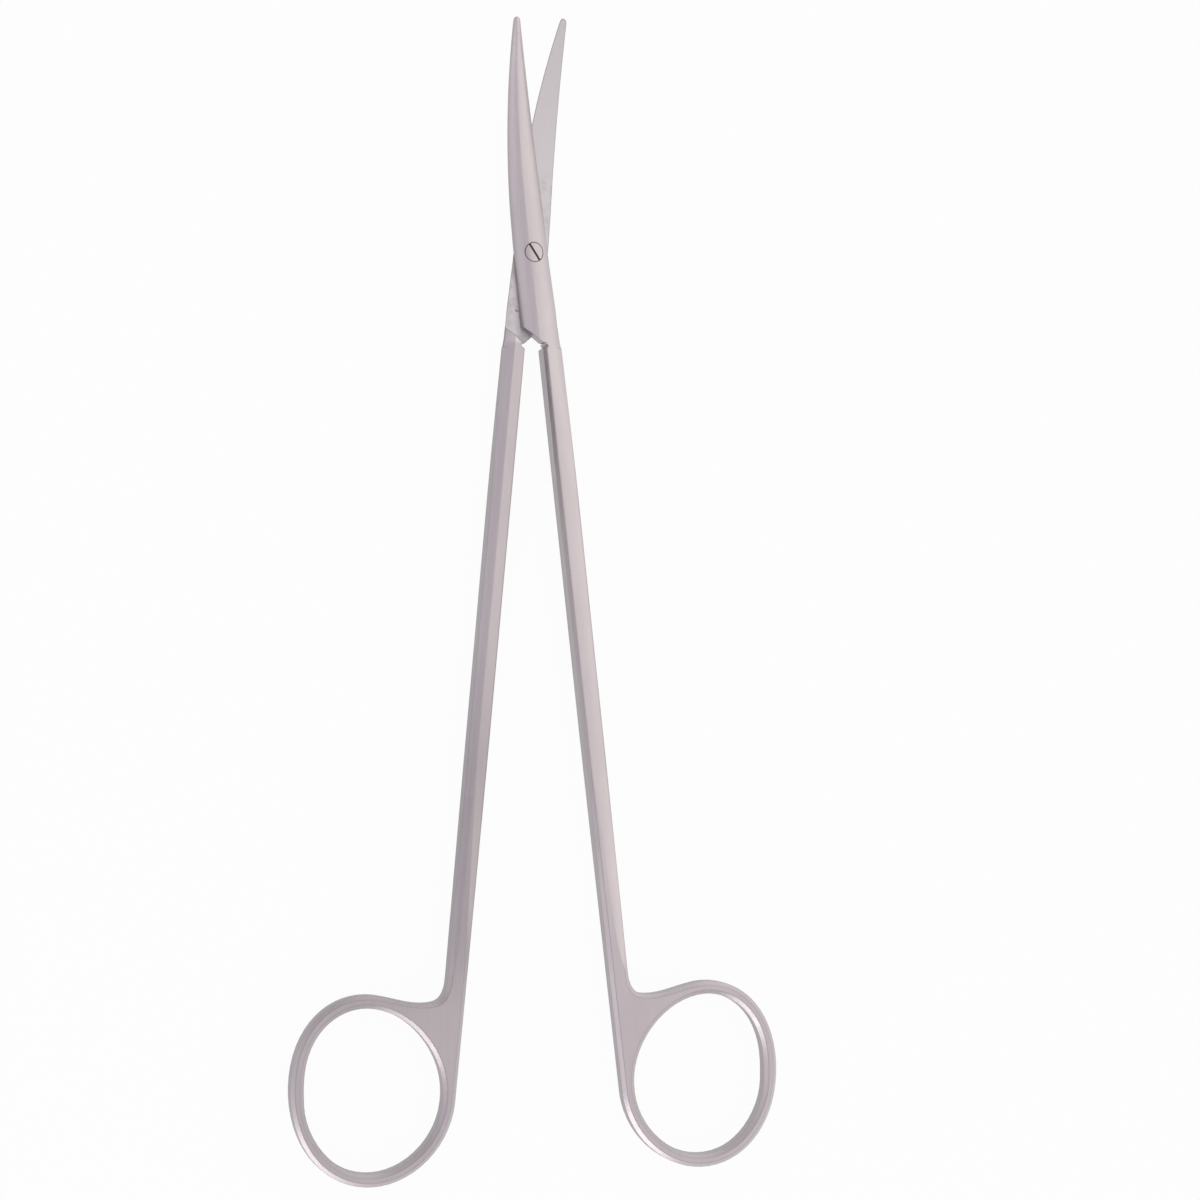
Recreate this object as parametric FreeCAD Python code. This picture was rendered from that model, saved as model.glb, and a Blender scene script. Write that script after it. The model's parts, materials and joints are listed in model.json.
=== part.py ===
import FreeCAD, Part
import math
import os

# Vascular scissors, 180 mm overall: two forged halves and the slotted screw that joins them.
# Millimetres. The origin is on the screw's axis, at the level of the surface that the scissors lie on.
# +Y points to the blade tips and +Z up; the blades curve upwards. The halves stand open, as at rest.

# The whole instrument
rest_half_angle = 5.4          # each half is turned this far from closed, in degrees
joint_half_thickness = 2.3     # one half's lap, from the lap plane to its outer crown
lap_gap = 0.015                # each lap face stands this far off the lap plane

# Blade
blade_reach = 36.55            # from the screw's axis to the tip, along the blade's curve
bend_start = 6.8               # the blade is straight up to here
bend_radius = 67.0
joint_back = 2.76              # from the screw's axis to the back of the blade
joint_edge = 2.75              # and to its cutting side
tip_back = 0.9
tip_edge = 0.09
back_taper = 1.75              # exponents of the two tapers, from the joint to the tip
edge_taper = 1.8
crown_taper = 1.3
tip_thickness = 0.72
back_wall = 0.5                # upright wall along the blade's back, at the joint
edge_wall = 0.45               # height of the cutting bevel, at the joint
tip_wall = 0.28                # both walls, at the tip
wall_share = 0.6               # neither wall is taller than this share of the crown
tip_run = 1.0                  # the top rounds down over this length at the tip
tip_drop = 0.5                 # and by this share of the thickness
edge_bevel = 0.16              # how far the cutting bevel leans in
hollow_slope = 1.7             # the inner face falls away from the cutting edge by this, in degrees
hollow_run = 9.0               # length over which the lap face turns into the hollow-ground face
ridge_share = 0.37             # the ridge lies at this share of the width, from the back
crown_bulge = 1.0              # 1 rounds a facet until it meets the ridge level, 0 leaves it flat

# Lap and shoulder
shank_start = 15.0             # below the screw's axis
lap_edge_start = 11.3          # where the lap's corner is cut off, on the blade's back
lap_edge_run = 2.61            # how far across that cut reaches
lap_edge_drop = 2.7            # and how far down
shoulder_outer = 11.7          # shoulder, measured at the outer edge of the shank
shoulder_inner = 14.05         # and at its inner end
shoulder_inset = 0.45          # that inner end, from the middle line
shoulder_draft = 6.0           # degrees
nick_depth = 0.66              # small relief where the lap's corner meets the shank
nick_length = 0.9

# Shank
shank_gap = 0.06               # inner edge, from the middle line, at the shank's start
shank_flare = 0.445            # the closed shanks part by this angle each, in degrees
shank_width_top = 3.25
shank_width_low = 3.05
shank_half_thickness = 1.66    # at mid length
shank_bulge = 0.9
outer_wall = 1.1               # half height of its upright outer wall
inner_wall = 0.95              # height of the inner wall above the middle, on the crown side
inner_wall_top = 1.5           # and at the shank's start
inner_bevel = 0.42             # width of the bevel above that wall
lap_side_wall = 1.35           # the same two on the side of the lap, where the bevel is broad
lap_side_bevel = 1.65
ridge_flat = 0.12              # width of the flattened ridge
root_flat = 1.1                # and just before the ring
shank_end = 112.0              # where the shank runs into the root of the ring

# Finger ring
ring_half_thickness = 1.5
ring_band = 2.0
ring_bevel = 0.62
hole_width = 21.5
hole_length = 25.0
hole_lean = 14.0               # the long axis leans outwards at the top, in degrees
hole_egg = 0.25                # the hole swells by this three times round, and shrinks in between
hole_egg_angle = 72.0          # where the first swelling is
hole_drop = 5.4                # from the shank's end down to the level of the hole's top
ring_set_off = 0.59            # the hole stands this much further from the shank's inner line
web_radius = 2.3               # hollow corner between the shank and the ring
web_set_off = 0.22             # that corner's arc stands this far off the shank
web_depth = 4.15               # from the shank's end to the corner's lowest point

# Screw
screw_neck_radius = 1.05
screw_thread_radius = 1.0
screw_head_radius = 1.45
head_seat = 1.15               # seat of the head, above the lap plane
neck_clearance = 0.03          # radial
head_clearance = 0.07          # radial
seat_clearance = 0.02
thread_clearance = 0.01
slot_width = 0.36
slot_depth = 0.55
slot_angle = -56.0             # direction of the slot at rest, from +X

# Extra length that lets a cut pass right through
over = 3.0

V = FreeCAD.Vector
UP = V(0, 0, 1)
ACROSS = V(1, 0, 0)


def mix(a, b, t):
    """Value a at t = 0 and b at t = 1."""
    return a + (b - a) * t


def along(t, stops):
    """Value at t on the straight lines between (t, value) stops."""
    for (t0, a), (t1, b) in zip(stops, stops[1:]):
        if t <= t1:
            return mix(a, b, (t - t0) / (t1 - t0))
    return stops[-1][1]


def face_of(points):
    """Flat face with straight sides."""
    return Part.Face(Part.makePolygon(points + [points[0]]))


def bulged_arc(start, end, bulge):
    """Arc in an XZ plane from start to end, rounded upwards by the share bulge of the chord's slope."""
    chord = end - start
    slope = math.atan2(abs(chord.z), abs(chord.x))
    rise = chord.Length / 2 * math.tan(bulge * slope / 2)
    normal = V(-chord.z, 0, chord.x)
    if normal.z < 0:
        normal = normal * -1
    middle = (start + end) * 0.5 + normal.normalize() * rise
    return Part.Arc(start, middle, end)


# Widths and heights along one half, as it lies when closed: the shank and ring are at +X,
# the blade's cutting edge is towards +X and its back towards -X.

def inner_edge(y):
    """X of the shank's inner edge."""
    return shank_gap + (-shank_start - y) * math.tan(math.radians(shank_flare))


def outer_edge(y):
    """X of the shank's outer edge."""
    t = (-shank_start - y) / (shank_end - shank_start)
    return inner_edge(y) + mix(shank_width_top, shank_width_low, t)


def blade_back(s):
    """X of the back, at the distance s along the blade from the screw's axis."""
    if s < 0:
        return -joint_back
    return -mix(joint_back, tip_back, (s / blade_reach) ** back_taper)


def blade_edge(s):
    """X of the cutting edge, and below the screw's axis X of the lap's outer edge."""
    if s < 0:
        return mix(joint_edge, outer_edge(-shank_start), -s / shank_start)
    return mix(joint_edge, tip_edge, (s / blade_reach) ** edge_taper)


def blade_crown(s):
    """Height of the ridge above the inner face."""
    if s < 0:
        return joint_half_thickness
    return mix(joint_half_thickness, tip_thickness, (s / blade_reach) ** crown_taper)


def place_along(shape, s, curve):
    """Moves a shape drawn in the plane y = 0 to the distance s along the blade."""
    moved = shape.copy()
    moved.translate(V(0, min(s, bend_start), 0))
    if s > bend_start:
        angle = math.degrees((s - bend_start) / bend_radius)
        moved.rotate(V(0, bend_start, curve * bend_radius), ACROSS, curve * angle)
    return moved


def blade_section(s, crown_share=1.0):
    """D-shaped section of the lap and the blade: flat below, ridged above."""
    t = max(s, 0) / blade_reach
    back = blade_back(s)
    edge = blade_edge(s)
    crown = blade_crown(s) * crown_share
    back_height = min(mix(back_wall, tip_wall, t), crown * wall_share)
    edge_height = min(mix(edge_wall, tip_wall, t), crown * wall_share)
    lean = edge_bevel
    below = 0.1
    corner = V(back, 0, -below)
    shoulder = V(back, 0, back_height)
    ridge = V(mix(back, edge, ridge_share), 0, crown)
    bevel_top = V(edge - lean, 0, edge_height)
    bevel_foot = V(edge + lean * below / edge_height, 0, -below)
    sides = [
        Part.LineSegment(corner, shoulder),
        bulged_arc(shoulder, ridge, crown_bulge),
        bulged_arc(ridge, bevel_top, crown_bulge),
        Part.LineSegment(bevel_top, bevel_foot),
        Part.LineSegment(bevel_foot, corner),
    ]
    return Part.Wire([side.toShape() for side in sides])


def blade_form(curve):
    """Lap and blade in one, before the inner face is ground."""
    joint_stations = [-shank_start, -10, -5, 0, bend_start]
    steps = 6
    last = blade_reach - tip_run
    blade_stations = [mix(bend_start, last, k / steps) for k in range(1, steps + 1)]
    wires = []
    for s in joint_stations + blade_stations:
        wires.append(place_along(blade_section(s), s, curve))
    for t in (0.6, 1.0):
        s = last + t * tip_run
        wires.append(place_along(blade_section(s, 1 - tip_drop * t * t), s, curve))
    return Part.makeLoft(wires, True, False, False)


def inner_face_tool(curve):
    """What is ground off below the blade's inner face: level at the lap, falling away from the edge."""
    side = 1.5
    depth = 4.0
    wires = []
    steps = 8
    for k in range(steps + 1):
        s = mix(bend_start, blade_reach + 1.0, k / steps)
        edge = blade_edge(min(s, blade_reach))
        back = blade_back(min(s, blade_reach))
        turned = min((s - bend_start) / hollow_run, 1)
        fall = math.tan(math.radians(hollow_slope)) * turned
        points = [
            V(edge + side, 0, lap_gap - side * fall),
            V(back - side, 0, lap_gap + (edge - back + side) * fall),
            V(back - side, 0, -depth),
            V(edge + side, 0, -depth),
        ]
        wires.append(place_along(Part.makePolygon(points + [points[0]]), s, curve))
    return Part.makeLoft(wires, True, False, False)


def nose_tool(curve):
    """Rounds the tip, seen from above."""
    radius = (tip_back + tip_edge) / 2
    middle = (tip_edge - tip_back) / 2
    tall = 2 * over
    block = Part.makeBox(tall, over, tall, V(middle - over, -radius, -over))
    post = Part.makeCylinder(radius, tall, V(middle, -radius, -over), UP)
    return place_along(block.cut(post), blade_reach, curve)


def shoulder_y(x):
    """The shoulder is a slanting line across the shank."""
    outer = outer_edge(-shank_start)
    t = (x - shoulder_inset) / (outer - shoulder_inset)
    return -mix(shoulder_inner, shoulder_outer, t)


def shoulder_block():
    """Space behind the shoulder, below the lap plane, with the shoulder's wall leaning back."""
    low = -joint_half_thickness - 1
    setback = math.tan(math.radians(shoulder_draft)) * -low
    left = -over
    right = 2 * over
    wires = []
    for z, back in ((0.05, 0), (low, setback)):
        points = [
            V(left, shoulder_y(left) - back, z),
            V(right, shoulder_y(right) - back, z),
            V(right, -shank_start, z),
            V(left, -shank_start - 2 * over, z),
        ]
        wires.append(Part.makePolygon(points + [points[0]]))
    block = Part.makeLoft(wires, True, True, False)
    floor = Part.makeBox(4 * over, 4 * over, 4 * over, V(-2 * over, -shank_start - 4 * over, -2 * over))
    return block.cut(floor)


def lap_tool():
    """Everything below the lap face, from the shoulder to the start of the bend."""
    left = -2 * over
    right = 2 * over
    points = [
        V(left, shoulder_y(left), lap_gap),
        V(right, shoulder_y(right), lap_gap),
        V(right, bend_start, lap_gap),
        V(left, bend_start, lap_gap),
    ]
    return face_of(points).extrude(V(0, 0, -2 * over))


def corner_tool(last_points):
    """Cuts the lap's corner off beside the inner end of the shank, down to the side of the small nick
    and on through the last points."""
    start = V(-joint_back, -lap_edge_start, 0)
    end = V(-joint_back + lap_edge_run, -lap_edge_start - lap_edge_drop, 0)
    slope = lap_edge_drop / lap_edge_run
    far = V(start.x - over, start.y + over * slope, 0)
    foot = V(inner_edge(-shank_start), -shank_start, 0)
    nick_side = V(foot.x + nick_depth, foot.y + nick_length / 2, 0)
    nick_top = V(foot.x + nick_depth / 2, foot.y + nick_length, 0)
    low = -shank_start - over
    points = [far, end, nick_top, nick_side] + last_points
    points += [V(last_points[-1].x, low, 0), V(far.x, low, 0)]
    tool = face_of(points).extrude(UP * (4 * over))
    tool.translate(UP * (-2 * over))
    return tool


def brow_corner(bevel):
    """Where the lap ends against the flattened ridge of the shank."""
    return V(inner_edge(-shank_start) + bevel + ridge_flat, -shank_start, 0)


def shank_side(y, flat, side_wall, height, wall, bevel, facet):
    """Upper side of the shank's section. facet is the rounded outer part of it, if already known."""
    foot = V(inner_edge(y), y, wall)
    ridge = V(foot.x + bevel, y, height)
    brow = V(ridge.x + flat, y, height)
    if facet is None:
        facet = bulged_arc(brow, V(outer_edge(y), y, side_wall), shank_bulge)
    return [
        Part.LineSegment(foot, ridge).toShape(),
        Part.LineSegment(ridge, brow).toShape(),
        facet.toShape(),
    ]


def shank_section(y, flat, side_wall, crown_side, lap_side, facets=(None, None)):
    """Eight-sided section of the shank. crown_side and lap_side are each the height of the ridge, the
    height of the inner wall and the width of the bevel above it."""
    upper = shank_side(y, flat, side_wall, *crown_side, facets[0])
    below = shank_side(y, flat, side_wall, *lap_side, facets[1])
    lower = [edge.mirror(V(0, 0, 0), UP) for edge in below]
    inner = inner_edge(y)
    outer = outer_edge(y)
    walls = [
        Part.LineSegment(V(outer, y, side_wall), V(outer, y, -side_wall)).toShape(),
        Part.LineSegment(V(inner, y, -lap_side[1]), V(inner, y, crown_side[1])).toShape(),
    ]
    return Part.Wire(Part.__sortEdges__(upper + lower + walls))


def lap_facet():
    """Circle of the lap's rounded outer facet where the shank takes over."""
    back = blade_back(-shank_start)
    edge = blade_edge(-shank_start)
    ridge = V(mix(back, edge, ridge_share), -shank_start, joint_half_thickness)
    bevel_top = V(edge - edge_bevel, -shank_start, edge_wall)
    return bulged_arc(ridge, bevel_top, crown_bulge).toShape().Curve


def on_circle(circle, x):
    """Upper point of a circle in an XZ plane."""
    return V(x, circle.Center.y, circle.Center.z + math.sqrt(circle.Radius ** 2 - (x - circle.Center.x) ** 2))


def facet_from(brow):
    """The part of that circle from the brow to the outer wall of the shank."""
    side = V(outer_edge(-shank_start), -shank_start, edge_wall)
    return Part.Arc(brow, on_circle(lap_facet(), (brow.x + side.x) / 2), side)


def shank_stub(bevel, wall, rise, length):
    """The shank's inner bevel, run on upwards by the length. rise is 1 on the crown side, -1 below."""
    start = -shank_start
    foot = inner_edge(start)
    brow = brow_corner(bevel).x
    tall = on_circle(lap_facet(), brow).z
    outline = [(foot, 0), (foot, wall), (brow - ridge_flat, tall), (brow, tall), (brow, 0)]
    return face_of([V(x, start, z * rise) for x, z in outline]).extrude(V(0, length, 0))


def lap_side_root():
    """Behind the shoulder the lap's mirrored crown meets the shank's broad bevel."""
    brow = brow_corner(lap_side_bevel)
    mirrored = blade_form(1).mirror(V(0, 0, 0), UP)
    clear = Part.makeBox(brow.x + 2 * over, 4 * over, 2 * over, V(-2 * over, brow.y - over, -2 * over + 0.1))
    stub = shank_stub(lap_side_bevel, lap_side_wall, -1, over)
    return mirrored.cut(clear).fuse(stub).common(shoulder_block())


def shank_form():
    """Shank from the lap's end to the root of the ring."""
    start = -shank_start
    end = -shank_end
    circle = lap_facet()
    crown_brow = on_circle(circle, brow_corner(inner_bevel).x)
    lap_brow = on_circle(circle, brow_corner(lap_side_bevel).x)
    low = ring_half_thickness
    middle = shank_half_thickness
    plate_wall = low - ring_bevel
    near_middle = mix(crown_brow.z, middle, 0.9)
    crown_heights = [(0, crown_brow.z), (0.2, near_middle), (0.4, middle), (0.9, low), (1, low)]
    lap_heights = [(0, lap_brow.z), (0.2, middle), (0.4, middle), (0.9, low), (1, low)]
    flats = [(0, ridge_flat), (0.65, ridge_flat), (0.95, root_flat), (1, root_flat)]
    side_walls = [(0, edge_wall), (0.2, outer_wall), (0.65, outer_wall), (1, plate_wall)]
    crown_walls = [(0, inner_wall_top), (0.2, inner_wall), (0.65, inner_wall), (1, plate_wall)]
    crown_bevels = [(0, inner_bevel), (0.65, inner_bevel), (1, ring_bevel)]
    lap_walls = [(0, lap_side_wall), (0.65, lap_side_wall), (1, plate_wall)]
    lap_bevels = [(0, lap_side_bevel), (0.65, lap_side_bevel), (1, ring_bevel)]
    first_crown = (crown_brow.z, inner_wall_top, inner_bevel)
    first_lap = (lap_brow.z, lap_side_wall, lap_side_bevel)
    first_facets = (facet_from(crown_brow), facet_from(lap_brow))
    wires = [shank_section(start, ridge_flat, edge_wall, first_crown, first_lap, first_facets)]
    for t in (0.07, 0.2, 0.4, 0.65, 0.83, 0.94):
        crown_side = [along(t, stops) for stops in (crown_heights, crown_walls, crown_bevels)]
        lap_side = [along(t, stops) for stops in (lap_heights, lap_walls, lap_bevels)]
        y = mix(start, end, t)
        wires.append(shank_section(y, along(t, flats), along(t, side_walls), crown_side, lap_side))
    plate_flat = outer_edge(end) - inner_edge(end) - 2 * ring_bevel
    plate_side = V(outer_edge(end), end, plate_wall)
    last_facet = Part.LineSegment(V(plate_side.x - ring_bevel, end, low), plate_side)
    last_side = (low, plate_wall, ring_bevel)
    wires.append(shank_section(end, plate_flat, plate_wall, last_side, last_side, (last_facet, last_facet)))
    return Part.makeLoft(wires, True, False, False)


def hole_centre():
    """Centre of the finger hole."""
    x = inner_edge(-shank_end) + ring_band + hole_width / 2 + ring_set_off
    return V(x, -shank_end - hole_drop - hole_length / 2, 0)


def hole_point(t):
    """Point of the finger hole's outline at the angle t, in degrees."""
    a = math.radians(t)
    lean = math.radians(hole_lean)
    u = hole_width / 2 * math.cos(a)
    v = hole_length / 2 * math.sin(a)
    swell = hole_egg * math.cos(3 * (a - math.radians(hole_egg_angle)))
    x = u * math.cos(lean) + v * math.sin(lean) + swell * math.cos(a)
    y = -u * math.sin(lean) + v * math.cos(lean) + swell * math.sin(a)
    return hole_centre() + V(x, y, 0)


def ring_heading(t):
    """Direction along the hole's outline at the angle t, clockwise."""
    return (hole_point(t - 0.5) - hole_point(t + 0.5)).normalize()


def ring_point(t, offset):
    """Point at the given offset outside the hole's outline."""
    heading = ring_heading(t)
    return hole_point(t) + V(-heading.y, heading.x, 0) * offset


def join_angle(offset, root):
    """Where the straight line from the root of the shank meets the ring without a corner."""
    def lean(t):
        point = ring_point(t, offset)
        return (point.x - root.x) / (root.y - point.y)
    return min(range(-190, -140), key=lean)


def web_guide(inset):
    """Points of the hollow corner between the shank and the ring, from the shank's outer edge on."""
    root = V(outer_edge(-shank_end), -shank_end, 0)
    radius = web_radius + inset
    centre = V(root.x + web_set_off + web_radius, root.y - web_depth + web_radius, 0)
    points = [root - ACROSS * inset]
    for angle in (195, 230, 265):
        a = math.radians(angle)
        points.append(centre + V(math.cos(a), math.sin(a), 0) * radius)
    return points


def ring_outline(inset, z):
    """Outline of the ring with its web and the root of the shank, moved inwards by the inset."""
    top_angle = 96
    outer = ring_band - inset
    root_in = V(inner_edge(-shank_end) + inset, -shank_end, 0)
    guide = web_guide(inset)
    web = Part.BSplineCurve()
    web.interpolate(
        Points=guide + [ring_point(top_angle, outer)],
        InitialTangent=V(0, -1, 0),
        FinalTangent=ring_heading(top_angle),
        Scale=False,
    )
    steps = 13
    last_angle = join_angle(outer, root_in)
    points = [ring_point(mix(top_angle, last_angle, k / steps), outer) for k in range(steps + 1)]
    band = Part.BSplineCurve()
    band.interpolate(
        Points=points,
        InitialTangent=ring_heading(top_angle),
        FinalTangent=(root_in - points[-1]).normalize(),
        Scale=False,
    )
    sides = [
        web.toShape(),
        band.toShape(),
        Part.LineSegment(points[-1], root_in).toShape(),
        Part.LineSegment(root_in, guide[0]).toShape(),
    ]
    wire = Part.Wire(sides)
    wire.translate(UP * z)
    return wire


def hole_outline(offset, z):
    """Outline of the finger hole, widened by the offset."""
    curve = Part.BSplineCurve()
    curve.interpolate(Points=[ring_point(t, offset) for t in range(360, 0, -30)], PeriodicFlag=True)
    wire = Part.Wire(curve.toShape())
    wire.translate(UP * z)
    return wire


def ring_form():
    """Finger ring with its web and the root of the shank, bevelled all round on both faces."""
    top = ring_half_thickness
    brow = top - ring_bevel
    plate = Part.makeLoft([
        ring_outline(ring_bevel, -top),
        ring_outline(0, -brow),
        ring_outline(0, brow),
        ring_outline(ring_bevel, top),
    ], True, True, False)
    opening = Part.makeLoft([
        hole_outline(ring_bevel, -top),
        hole_outline(0, -brow),
        hole_outline(0, brow),
        hole_outline(ring_bevel, top),
    ], True, True, False)
    return plate.cut(opening)


def half(curve, bore):
    """One forged half, closed, with its lap above the lap plane. curve is 1 or -1, away from or
    towards the other half."""
    blade = blade_form(curve).cut(corner_tool([brow_corner(inner_bevel)]))
    stub = shank_stub(inner_bevel, inner_wall_top, 1, nick_length)
    body = blade.fuse([stub, lap_side_root(), shank_form(), ring_form()])
    corner = corner_tool([V(inner_edge(-shank_start), -shank_start, 0)])
    body = body.cut([lap_tool(), inner_face_tool(curve), corner, nose_tool(curve), bore])
    return body.removeSplitter()


def cylinder(radius, low, high):
    """Upright cylinder on the screw's axis."""
    return Part.makeCylinder(radius, high - low, V(0, 0, low), UP)


def upper_bore():
    """Running bore for the neck, with the counterbore for the head."""
    neck = cylinder(screw_neck_radius + neck_clearance, -over, over)
    head = cylinder(screw_head_radius + head_clearance, head_seat, over)
    return neck.fuse(head)


def lower_bore():
    """Threaded hole, drawn at the thread's outer radius."""
    return cylinder(screw_thread_radius + thread_clearance, -over, over)


def place_upper(shape):
    """From the closed position of the upper half to its place at rest."""
    placed = shape.copy()
    placed.rotate(V(0, 0, 0), UP, rest_half_angle)
    placed.translate(UP * joint_half_thickness)
    return placed


def place_lower(shape):
    """The lower half is the same forging turned over."""
    placed = shape.copy()
    placed.rotate(V(0, 0, 0), V(0, 1, 0), 180)
    placed.rotate(V(0, 0, 0), UP, -rest_half_angle)
    placed.translate(UP * joint_half_thickness)
    return placed


def pivot_screw():
    """Slotted screw. Both ends are dressed flush with the halves."""
    lap = joint_half_thickness
    head = cylinder(screw_head_radius, lap + head_seat + seat_clearance, lap + over)
    neck = cylinder(screw_neck_radius, lap, lap + head_seat + seat_clearance)
    thread = cylinder(screw_thread_radius, lap - over, lap)
    above = head.fuse(neck).common(place_upper(blade_form(1)))
    below = thread.common(place_lower(blade_form(-1)))
    top = lap + joint_half_thickness
    slot = Part.makeBox(2 * over, slot_width, over, V(-over, -slot_width / 2, top - slot_depth))
    slot.rotate(V(0, 0, 0), UP, slot_angle)
    return above.fuse(below).cut(slot).removeSplitter()


def write(name, shape):
    """Writes one piece as a STEP file."""
    solid = shape.Solids[0]
    solid.exportStep("parts/" + name + ".step")
    print(name, "valid", solid.isValid(), "solids", len(shape.Solids), "volume", round(solid.Volume, 2))


os.makedirs("parts", exist_ok=True)
write("upper_half", place_upper(half(1, upper_bore())))
write("lower_half", place_lower(half(-1, lower_bore())))
write("pivot_screw", pivot_screw())
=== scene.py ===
import json
import math

import bmesh
import bpy
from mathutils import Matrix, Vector


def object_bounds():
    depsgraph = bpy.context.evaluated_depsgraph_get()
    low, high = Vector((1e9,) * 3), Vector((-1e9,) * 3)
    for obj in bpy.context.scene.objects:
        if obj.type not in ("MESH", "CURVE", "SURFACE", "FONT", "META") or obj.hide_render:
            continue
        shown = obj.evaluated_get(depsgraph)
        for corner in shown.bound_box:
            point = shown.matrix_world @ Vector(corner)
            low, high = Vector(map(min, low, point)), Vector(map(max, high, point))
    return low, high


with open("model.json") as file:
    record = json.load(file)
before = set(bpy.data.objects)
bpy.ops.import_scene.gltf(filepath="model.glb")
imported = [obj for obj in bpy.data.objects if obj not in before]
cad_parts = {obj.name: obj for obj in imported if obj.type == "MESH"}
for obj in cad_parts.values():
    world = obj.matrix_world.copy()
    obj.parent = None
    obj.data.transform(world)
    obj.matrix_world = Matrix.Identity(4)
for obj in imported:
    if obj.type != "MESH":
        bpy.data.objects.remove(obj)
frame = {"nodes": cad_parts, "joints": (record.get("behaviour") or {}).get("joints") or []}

# Vascular scissors, lying slightly open on a pale table. Metres, in the frame of the solids:
# +Y to the blade tips, +X to the upper half's finger ring, +Z up along the pivot screw.

MM = 0.001
solid_box = [list(corner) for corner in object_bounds()]
lap_plane = frame["joints"][0]["pos_m"][2]


# Shader helpers

def node(tree, kind, **settings):
    """A new shader node with its settings."""
    made = tree.nodes.new(kind)
    for name, value in settings.items():
        setattr(made, name, value)
    return made


def math_node(tree, operation, a, b=0.0, clamp=False):
    """A Math node. a and b are numbers or sockets."""
    made = node(tree, "ShaderNodeMath", operation=operation, use_clamp=clamp)
    for socket, value in zip(made.inputs, (a, b)):
        if isinstance(value, (int, float)):
            socket.default_value = value
        else:
            tree.links.new(value, socket)
    return made.outputs[0]


def spread(tree, value, low, high, to_low, to_high, smooth=False):
    """Maps a value from low..high to to_low..to_high, clamped."""
    made = node(tree, "ShaderNodeMapRange")
    if smooth:
        made.interpolation_type = "SMOOTHSTEP"
    for name, number in (("From Min", low), ("From Max", high), ("To Min", to_low), ("To Max", to_high)):
        made.inputs[name].default_value = number
    tree.links.new(value, made.inputs["Value"])
    return made.outputs["Result"]


def blend_colours(tree, factor, first, second, mode="MIX"):
    """Mixes two colours, each given as a tuple or a socket."""
    made = node(tree, "ShaderNodeMix", data_type="RGBA", blend_type=mode)
    tree.links.new(factor, made.inputs["Factor"])
    for socket, value in ((made.inputs[6], first), (made.inputs[7], second)):
        if isinstance(value, tuple):
            socket.default_value = (*value, 1.0)
        else:
            tree.links.new(value, socket)
    return made.outputs[2]


def noise(tree, place, scale, stretch=(1, 1, 1), detail=3.0, roughness=0.55):
    """Noise on object coordinates, stretched along an axis where that axis's number is small."""
    mapping = node(tree, "ShaderNodeMapping")
    mapping.inputs["Scale"].default_value = stretch
    tree.links.new(place, mapping.inputs["Vector"])
    made = node(tree, "ShaderNodeTexNoise")
    made.inputs["Scale"].default_value = scale
    made.inputs["Detail"].default_value = detail
    made.inputs["Roughness"].default_value = roughness
    tree.links.new(mapping.outputs["Vector"], made.inputs["Vector"])
    return made.outputs["Fac"]


def new_group(name, inputs, outputs):
    """An empty shader node group with its sockets."""
    group = bpy.data.node_groups.new(name, "ShaderNodeTree")
    for label, kind, value in inputs:
        socket = group.interface.new_socket(label, in_out="INPUT", socket_type=kind)
        socket.default_value = value
    for label, kind in outputs:
        group.interface.new_socket(label, in_out="OUTPUT", socket_type=kind)
    return group, node(group, "NodeGroupInput"), node(group, "NodeGroupOutput")


def place_group(tree, group, **values):
    """A node of the group in a material, with its own values."""
    made = node(tree, "ShaderNodeGroup", node_tree=group)
    for name, value in values.items():
        made.inputs[name.replace("_", " ")].default_value = value
    return made


# Shared effects

def satin_grind():
    """Blasted and finely ground steel: speckle, grinding lines along Y, and soft clouds."""
    group, given, out = new_group(
        "satin grind",
        [("Speckle Scale", "NodeSocketFloat", 5200.0), ("Line Scale", "NodeSocketFloat", 2600.0)],
        [("Speckle", "NodeSocketFloat"), ("Lines", "NodeSocketFloat"), ("Clouds", "NodeSocketFloat"),
         ("Height", "NodeSocketFloat")],
    )
    place = node(group, "ShaderNodeTexCoord").outputs["Object"]
    speckle = node(group, "ShaderNodeTexNoise")
    speckle.inputs["Detail"].default_value = 2.0
    group.links.new(place, speckle.inputs["Vector"])
    group.links.new(given.outputs["Speckle Scale"], speckle.inputs["Scale"])
    along = node(group, "ShaderNodeMapping")
    along.inputs["Scale"].default_value = (1.0, 0.03, 1.0)
    group.links.new(place, along.inputs["Vector"])
    lines = node(group, "ShaderNodeTexNoise")
    lines.inputs["Detail"].default_value = 3.0
    group.links.new(along.outputs["Vector"], lines.inputs["Vector"])
    group.links.new(given.outputs["Line Scale"], lines.inputs["Scale"])
    clouds = noise(group, place, 130.0, (1.0, 0.45, 1.0), detail=4.0)
    height = math_node(group, "ADD", math_node(group, "MULTIPLY", speckle.outputs["Fac"], 0.45),
                       math_node(group, "MULTIPLY", lines.outputs["Fac"], 0.55))
    group.links.new(speckle.outputs["Fac"], out.inputs["Speckle"])
    group.links.new(lines.outputs["Fac"], out.inputs["Lines"])
    group.links.new(clouds, out.inputs["Clouds"])
    group.links.new(height, out.inputs["Height"])
    return group


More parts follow.
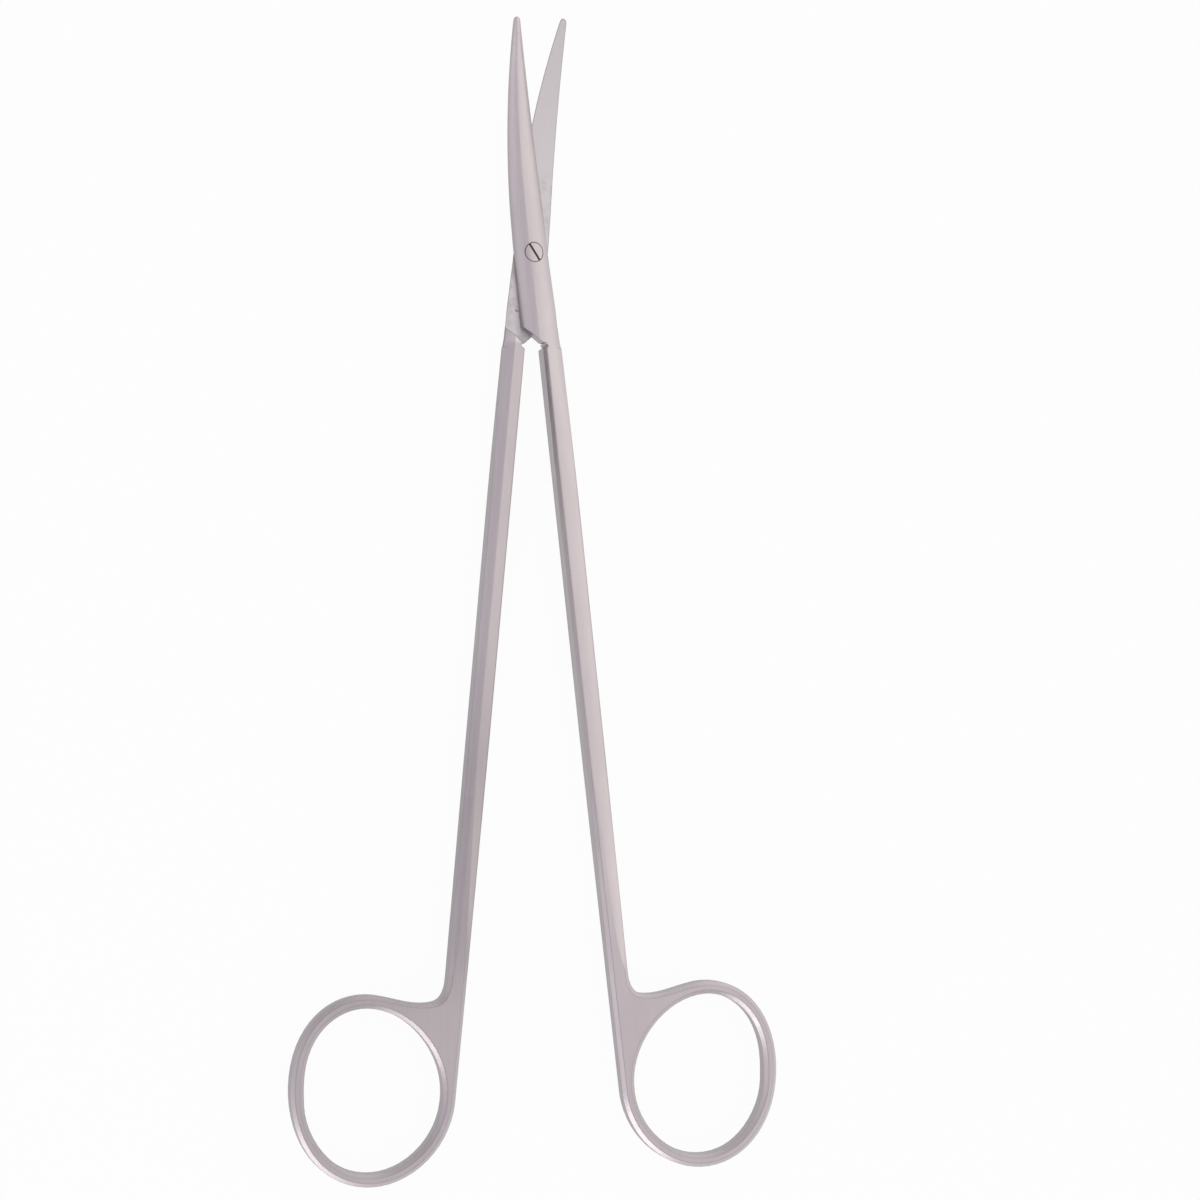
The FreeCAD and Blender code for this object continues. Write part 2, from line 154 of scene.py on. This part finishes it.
def handling_scratches():
    """Sparse hair scratches from use and washing, running mostly lengthwise."""
    group, given, out = new_group(
        "handling scratches", [("Amount", "NodeSocketFloat", 0.5)], [("Mask", "NodeSocketFloat")])
    place = node(group, "ShaderNodeTexCoord").outputs["Object"]
    turned = node(group, "ShaderNodeMapping")
    turned.inputs["Rotation"].default_value = (0.0, 0.0, math.radians(14))
    turned.inputs["Scale"].default_value = (1.0, 0.06, 1.0)
    group.links.new(place, turned.inputs["Vector"])
    cells = node(group, "ShaderNodeTexVoronoi", feature="DISTANCE_TO_EDGE")
    cells.inputs["Scale"].default_value = 420.0
    group.links.new(turned.outputs["Vector"], cells.inputs["Vector"])
    hair = spread(group, cells.outputs["Distance"], 0.0, 0.035, 1.0, 0.0)
    patches = spread(group, noise(group, place, 260.0), 0.55, 0.72, 0.0, 1.0)
    mask = math_node(group, "MULTIPLY", math_node(group, "MULTIPLY", hair, patches), given.outputs["Amount"])
    group.links.new(mask, out.inputs["Mask"])
    return group


def oval_mark():
    """A soft oval spot on the surface, at a place, turned and sized by its inputs, in metres."""
    group, given, out = new_group(
        "oval mark",
        [("Place", "NodeSocketVector", (0, 0, 0)), ("Turn", "NodeSocketVector", (0, 0, 0)),
         ("Size", "NodeSocketVector", (1, 1, 1))],
        [("Mask", "NodeSocketFloat")],
    )
    mapping = node(group, "ShaderNodeMapping", vector_type="TEXTURE")
    group.links.new(node(group, "ShaderNodeTexCoord").outputs["Object"], mapping.inputs["Vector"])
    group.links.new(given.outputs["Place"], mapping.inputs["Location"])
    group.links.new(given.outputs["Turn"], mapping.inputs["Rotation"])
    group.links.new(given.outputs["Size"], mapping.inputs["Scale"])
    ball = node(group, "ShaderNodeTexGradient", gradient_type="SPHERICAL")
    group.links.new(mapping.outputs["Vector"], ball.inputs["Vector"])
    group.links.new(spread(group, ball.outputs["Fac"], 0.0, 0.6, 0.0, 1.0, smooth=True), out.inputs["Mask"])
    return group


grind = satin_grind()
scratches = handling_scratches()
mark = oval_mark()


# Materials

STEEL_LIGHT = (0.685, 0.625, 0.640)
STEEL_DARK = (0.625, 0.562, 0.588)
GROUND_FACE = (0.860, 0.820, 0.828)
# Painted shade, for the gap round the screw, its slot and rim, and the dent.
PAINTED_SHADE = (0.150, 0.120, 0.112)
# Painted shade for steep flanks and edges.
PAINTED_EDGE_SHADE = (0.20, 0.19, 0.195)
SHANK_SHADE = (0.27, 0.25, 0.265)
SCRATCH_LIGHT = (0.80, 0.76, 0.77)
RUBBED_LAP = (0.50, 0.51, 0.49)
TURNED_DARK = (0.610, 0.550, 0.565)
TURNED_LIGHT = (0.690, 0.625, 0.635)
HEAD_RADIUS = 1.45 * MM
SLOT_WIDTH = 0.36 * MM
SLOT_ANGLE = math.radians(-56)
SHANK_FROM = -24 * MM
JOINT_FROM = -15 * MM
LAP_FROM = (-14.2 * MM, -13.6 * MM)
DENT_PLACE = (-2.30 * MM, -8.92 * MM, lap_plane)
DENT_SIZE = (0.50 * MM, 0.24 * MM, 0.5 * MM)
DENT_TURN = (0, 0, math.radians(-21))


def steel_base(name):
    """The satin steel that both halves share. Returns the tree, shader and the sockets to build on."""
    material = bpy.data.materials.new(name)
    material.use_nodes = True
    tree = material.node_tree
    shader = tree.nodes["Principled BSDF"]
    shader.inputs["Metallic"].default_value = 1.0
    ground = place_group(tree, grind)
    hair = place_group(tree, scratches, Amount=0.55)
    tone = math_node(tree, "ADD", math_node(tree, "MULTIPLY", ground.outputs["Clouds"], 0.7),
                     math_node(tree, "MULTIPLY", ground.outputs["Lines"], 0.3))
    colour = blend_colours(tree, spread(tree, tone, 0.35, 0.65, 0.0, 1.0), STEEL_DARK, STEEL_LIGHT)
    return material, tree, shader, ground, hair, colour


def rounded_edge(tree, on_shanks, at_joint):
    """A normal that rounds the edges: softer on the shanks and rings, crisp at the joint and the blades."""
    split = node(tree, "ShaderNodeSeparateXYZ")
    tree.links.new(node(tree, "ShaderNodeTexCoord").outputs["Object"], split.inputs[0])
    edge = node(tree, "ShaderNodeBevel", samples=8)
    radius = spread(tree, split.outputs["Y"], SHANK_FROM, JOINT_FROM, on_shanks, at_joint)
    tree.links.new(radius, edge.inputs["Radius"])
    return edge.outputs["Normal"]


def facing_up(tree, normal):
    """How far a normal faces up or down, from -1 to 1."""
    split = node(tree, "ShaderNodeSeparateXYZ")
    tree.links.new(normal, split.inputs[0])
    return split.outputs["Z"]


def paint_flank_shade(tree, colour, normal):
    """Painted shade: steep flanks, and a thin line along the corners, are darkened."""
    level = math_node(tree, "ABSOLUTE", facing_up(tree, normal))
    flank_shade = spread(tree, level, 0.20, 0.88, 0.62, 0.0)
    turned = node(tree, "ShaderNodeVectorMath", operation="DOT_PRODUCT")
    tree.links.new(rounded_edge(tree, 0.55 * MM, 0.28 * MM), turned.inputs[0])
    tree.links.new(node(tree, "ShaderNodeNewGeometry").outputs["Normal"], turned.inputs[1])
    corner = spread(tree, turned.outputs["Value"], 0.94, 0.985, 0.48, 0.0)
    return blend_colours(tree, math_node(tree, "MAXIMUM", flank_shade, corner), colour, PAINTED_EDGE_SHADE)


def ground_inner_face(tree, colour, side):
    """The lap and the inner face of the blade are ground brighter. side is 1 where they face up, or -1."""
    split = node(tree, "ShaderNodeSeparateXYZ")
    tree.links.new(node(tree, "ShaderNodeTexCoord").outputs["Object"], split.inputs[0])
    up = facing_up(tree, node(tree, "ShaderNodeNewGeometry").outputs["Normal"])
    inner = spread(tree, math_node(tree, "MULTIPLY", up, side), 0.6, 0.8, 0.0, 0.78)
    past_shank = spread(tree, split.outputs["Y"], *LAP_FROM, 0.0, 1.0)
    below = spread(tree, math_node(tree, "MULTIPLY", split.outputs["Z"], side),
                   lap_plane * side - 0.4 * MM, lap_plane * side - 0.2 * MM, 0.0, 1.0)
    mask = math_node(tree, "MULTIPLY", math_node(tree, "MULTIPLY", inner, past_shank), below)
    return blend_colours(tree, mask, colour, GROUND_FACE)


def finish_steel(tree, shader, ground, hair, colour, extra_height=None, extra_rough=None):
    """Roughness, scratches, fine bump and softened edges of the satin steel."""
    rounded = rounded_edge(tree, 0.16 * MM, 0.10 * MM)
    scratched = math_node(tree, "MULTIPLY", hair.outputs["Mask"], 0.35)
    colour = blend_colours(tree, scratched, colour, SCRATCH_LIGHT)
    # Painted shade on steep flanks and along the corners.
    colour = paint_flank_shade(tree, colour, rounded)
    rough = spread(tree, ground.outputs["Lines"], 0.3, 0.7, 0.34, 0.45)
    rough = math_node(tree, "SUBTRACT", rough, math_node(tree, "MULTIPLY", hair.outputs["Mask"], 0.08))
    if extra_rough is not None:
        rough = math_node(tree, "ADD", rough, extra_rough)
    height = math_node(tree, "SUBTRACT", ground.outputs["Height"],
                       math_node(tree, "MULTIPLY", hair.outputs["Mask"], 0.5))
    if extra_height is not None:
        height = math_node(tree, "ADD", height, extra_height)
    bump = node(tree, "ShaderNodeBump")
    bump.inputs["Strength"].default_value = 0.35
    bump.inputs["Distance"].default_value = 0.02 * MM
    tree.links.new(height, bump.inputs["Height"])
    tree.links.new(rounded, bump.inputs["Normal"])
    tree.links.new(colour, shader.inputs["Base Color"])
    tree.links.new(rough, shader.inputs["Roughness"])
    tree.links.new(bump.outputs["Normal"], shader.inputs["Normal"])


def from_screw_axis(tree, place):
    """Distance from the pivot screw's axis, with the coordinates along X and Y."""
    split = node(tree, "ShaderNodeSeparateXYZ")
    tree.links.new(place, split.inputs[0])
    x, y = split.outputs["X"], split.outputs["Y"]
    squares = math_node(tree, "ADD", math_node(tree, "MULTIPLY", x, x), math_node(tree, "MULTIPLY", y, y))
    return math_node(tree, "SQRT", squares), x, y


def upper_half_steel():
    """Satin steel, with a thin line of painted shade round the screw's head, stronger towards the blade tips.
    """
    material, tree, shader, ground, hair, colour = steel_base("satin steel of the upper half")
    place = node(tree, "ShaderNodeTexCoord").outputs["Object"]
    radius, x, y = from_screw_axis(tree, place)
    # Painted shade in the gap round the screw's head, stronger towards the blade tips.
    head_gap_shade = spread(tree, radius, HEAD_RADIUS + 0.05 * MM, HEAD_RADIUS + 0.14 * MM, 1.0, 0.0)
    shade_stronger_to_tips = spread(tree, y, -HEAD_RADIUS, 0.4 * HEAD_RADIUS, 0.25, 0.55)
    colour = ground_inner_face(tree, colour, -1)
    colour = blend_colours(tree, math_node(tree, "MULTIPLY", head_gap_shade, shade_stronger_to_tips), colour, PAINTED_SHADE)
    finish_steel(tree, shader, ground, hair, colour)
    return material


def lower_half_steel():
    """Satin steel, with painted shade down the shank. The bared lap face is rubbed and mottled, and has a
    short dent darkened with painted shade.
    """
    material, tree, shader, ground, hair, colour = steel_base("satin steel of the lower half")
    place = node(tree, "ShaderNodeTexCoord").outputs["Object"]
    colour = ground_inner_face(tree, colour, 1)
    split = node(tree, "ShaderNodeSeparateXYZ")
    tree.links.new(place, split.inputs[0])
    off_lap = math_node(tree, "ABSOLUTE", math_node(tree, "SUBTRACT", split.outputs["Z"], lap_plane))
    on_lap = spread(tree, off_lap, 0.05 * MM, 0.2 * MM, 1.0, 0.0)
    blotches = spread(tree, noise(tree, place, 620.0, detail=5.0), 0.46, 0.64, 0.0, 0.40)
    rubbed = math_node(tree, "MULTIPLY", blotches, on_lap)
    colour = blend_colours(tree, rubbed, colour, RUBBED_LAP)
    # Painted shade: the shank is darkened, most between y -85 and -103 mm.
    above = spread(tree, split.outputs["Y"], -85 * MM, -55 * MM, 0.42, 0.10, smooth=True)
    below = spread(tree, split.outputs["Y"], -122 * MM, -103 * MM, 0.3, 1.0, smooth=True)
    colour = blend_colours(tree, math_node(tree, "MULTIPLY", above, below), colour, SHANK_SHADE)
    dent = place_group(tree, mark, Place=DENT_PLACE, Turn=DENT_TURN, Size=DENT_SIZE)
    # Painted shade in the dent's hollow, on top of its bump.
    colour = blend_colours(tree, math_node(tree, "MULTIPLY", dent.outputs["Mask"], 0.55), colour, PAINTED_SHADE)
    finish_steel(tree, shader, ground, hair, colour,
                 extra_height=math_node(tree, "MULTIPLY", dent.outputs["Mask"], -4.0),
                 extra_rough=math_node(tree, "MULTIPLY", rubbed, 0.25))
    return material


def screw_steel():
    """Turned screw head, with painted shade inside the slot and along the rim."""
    material = bpy.data.materials.new("turned steel of the pivot screw")
    material.use_nodes = True
    tree = material.node_tree
    shader = tree.nodes["Principled BSDF"]
    shader.inputs["Metallic"].default_value = 1.0
    place = node(tree, "ShaderNodeTexCoord").outputs["Object"]
    ground = place_group(tree, grind, Speckle_Scale=6400.0)
    radius, x, y = from_screw_axis(tree, place)
    rings = math_node(tree, "SINE", math_node(tree, "MULTIPLY", radius, 2 * math.pi / (0.11 * MM)))
    colour = blend_colours(tree, spread(tree, ground.outputs["Clouds"], 0.35, 0.65, 0.0, 1.0),
                           TURNED_DARK, TURNED_LIGHT)
    # Painted shade along the rim, stronger towards the blade tips.
    rim = spread(tree, radius, HEAD_RADIUS - 0.08 * MM, HEAD_RADIUS, 0.0, 1.0)
    rim = math_node(tree, "MULTIPLY", rim, spread(tree, y, -HEAD_RADIUS, 0.4 * HEAD_RADIUS, 0.2, 0.5))
    across = math_node(tree, "SUBTRACT", math_node(tree, "MULTIPLY", x, math.sin(SLOT_ANGLE)),
                       math_node(tree, "MULTIPLY", y, math.cos(SLOT_ANGLE)))
    off_slot = math_node(tree, "ABSOLUTE", across)
    # Painted shade in the slot, deepest towards the rings.
    in_slot = spread(tree, off_slot, SLOT_WIDTH / 2, SLOT_WIDTH / 2 + 0.02 * MM, 1.0, 0.0)
    slot_shade_fade = spread(tree, y, -HEAD_RADIUS, HEAD_RADIUS, 0.92, 0.6)
    slot = math_node(tree, "MULTIPLY", in_slot, slot_shade_fade)
    colour = blend_colours(tree, math_node(tree, "MAXIMUM", rim, slot), colour, PAINTED_SHADE)
    bump = node(tree, "ShaderNodeBump")
    bump.inputs["Strength"].default_value = 0.3
    bump.inputs["Distance"].default_value = 0.01 * MM
    tree.links.new(math_node(tree, "ADD", math_node(tree, "MULTIPLY", rings, 0.25), ground.outputs["Height"]),
                   bump.inputs["Height"])
    tree.links.new(colour, shader.inputs["Base Color"])
    tree.links.new(spread(tree, ground.outputs["Speckle"], 0.3, 0.7, 0.34, 0.44), shader.inputs["Roughness"])
    tree.links.new(bump.outputs["Normal"], shader.inputs["Normal"])
    return material


def dress(name, material):
    """Gives a solid its material."""
    mesh_object = frame["nodes"][name]
    if not mesh_object.material_slots:
        mesh_object.data.materials.append(material)
    for slot in mesh_object.material_slots:
        slot.material = material


dress("upper_half", upper_half_steel())
dress("lower_half", lower_half_steel())
dress("pivot_screw", screw_steel())


# Table, light and camera

def table_surface():
    """A large, plain white table top at the level the scissors lie on."""
    mesh = bpy.data.meshes.new("table")
    shape = bmesh.new()
    bmesh.ops.create_grid(shape, x_segments=1, y_segments=1, size=4.0)
    bmesh.ops.translate(shape, verts=shape.verts, vec=(0, 0, solid_box[0][2] - 0.02 * MM))
    shape.to_mesh(mesh)
    shape.free()
    table = bpy.data.objects.new("table", mesh)
    bpy.context.scene.collection.objects.link(table)
    material = bpy.data.materials.new("white table")
    material.use_nodes = True
    tree = material.node_tree
    shader = tree.nodes["Principled BSDF"]
    shader.inputs["Base Color"].default_value = (0.86, 0.86, 0.86, 1.0)
    shader.inputs["Roughness"].default_value = 0.9
    shader.inputs["Specular IOR Level"].default_value = 0.1
    glow = node(tree, "ShaderNodeEmission")
    glow.inputs["Strength"].default_value = 1.0
    path = node(tree, "ShaderNodeLightPath")
    mirrored = math_node(tree, "MAXIMUM", path.outputs["Is Glossy Ray"], path.outputs["Is Transmission Ray"])
    seen = math_node(tree, "MAXIMUM", path.outputs["Is Camera Ray"], mirrored)
    both = node(tree, "ShaderNodeMixShader")
    tree.links.new(math_node(tree, "MULTIPLY", seen, 0.95), both.inputs[0])
    tree.links.new(shader.outputs["BSDF"], both.inputs[1])
    tree.links.new(glow.outputs["Emission"], both.inputs[2])
    tree.links.new(both.outputs["Shader"], tree.nodes["Material Output"].inputs["Surface"])
    mesh.materials.append(material)


def softbox(name, place, aim, size, colour, radiance):
    """A rectangular soft light of a given brightness, facing a point."""
    light = bpy.data.lights.new(name, "AREA")
    light.shape = "RECTANGLE"
    light.size, light.size_y = size
    light.energy = math.pi * size[0] * size[1] * radiance
    light.color = colour
    holder = bpy.data.objects.new(name, light)
    bpy.context.scene.collection.objects.link(holder)
    holder.location = place
    holder.rotation_euler = (Vector(aim) - Vector(place)).to_track_quat("-Z", "Y").to_euler()


def studio():
    """Plain light tent: dim and cool overhead, lighter low on the left, bright and warm to the right."""
    world = bpy.data.worlds.new("light tent")
    bpy.context.scene.world = world
    world.use_nodes = True
    tree = world.node_tree
    split = node(tree, "ShaderNodeSeparateXYZ")
    tree.links.new(node(tree, "ShaderNodeTexCoord").outputs["Generated"], split.inputs[0])
    ramp = node(tree, "ShaderNodeValToRGB")
    ramp.color_ramp.interpolation = "B_SPLINE"
    stops = ((0.0, (0.74, 0.72, 0.76)), (0.15, (0.54, 0.525, 0.555)), (0.33, (0.50, 0.488, 0.515)),
             (0.57, (0.52, 0.51, 0.53)), (0.67, (0.635, 0.625, 0.625)), (0.82, (0.82, 0.81, 0.79)),
             (1.0, (0.82, 0.805, 0.78)))
    while len(ramp.color_ramp.elements) < len(stops):
        ramp.color_ramp.elements.new(1.0)
    for element, (position, colour) in zip(ramp.color_ramp.elements, stops):
        element.position = position
        element.color = (*colour, 1.0)
    slant = math_node(tree, "ADD", split.outputs["X"], math_node(tree, "MULTIPLY", split.outputs["Y"], 0.35))
    tree.links.new(spread(tree, slant, -1.0, 1.0, 0.0, 1.0), ramp.inputs["Fac"])
    tree.links.new(ramp.outputs["Color"], tree.nodes["Background"].inputs["Color"])
    tree.nodes["Background"].inputs["Strength"].default_value = 1.28
    softbox("low left softbox", (-0.34, -0.66, 0.15), (0.0, -0.12, 0.0), (0.70, 0.36), (0.98, 0.99, 1.0), 1.7)


def photo_camera():
    """Camera above and a little to the left, at the photo's distance."""
    data = bpy.data.cameras.new("camera")
    data.lens = 87.51
    data.sensor_width = 36.0
    data.clip_start = 0.01
    camera = bpy.data.objects.new("camera", data)
    bpy.context.scene.collection.objects.link(camera)
    camera.location = (-0.12369, -0.06410, 0.43623)
    camera.rotation_euler = (math.radians(1.47), math.radians(-17.2), math.radians(-0.544))
    bpy.context.scene.camera = camera


table_surface()
studio()
photo_camera()
bpy.context.scene.view_settings.view_transform = "Standard"
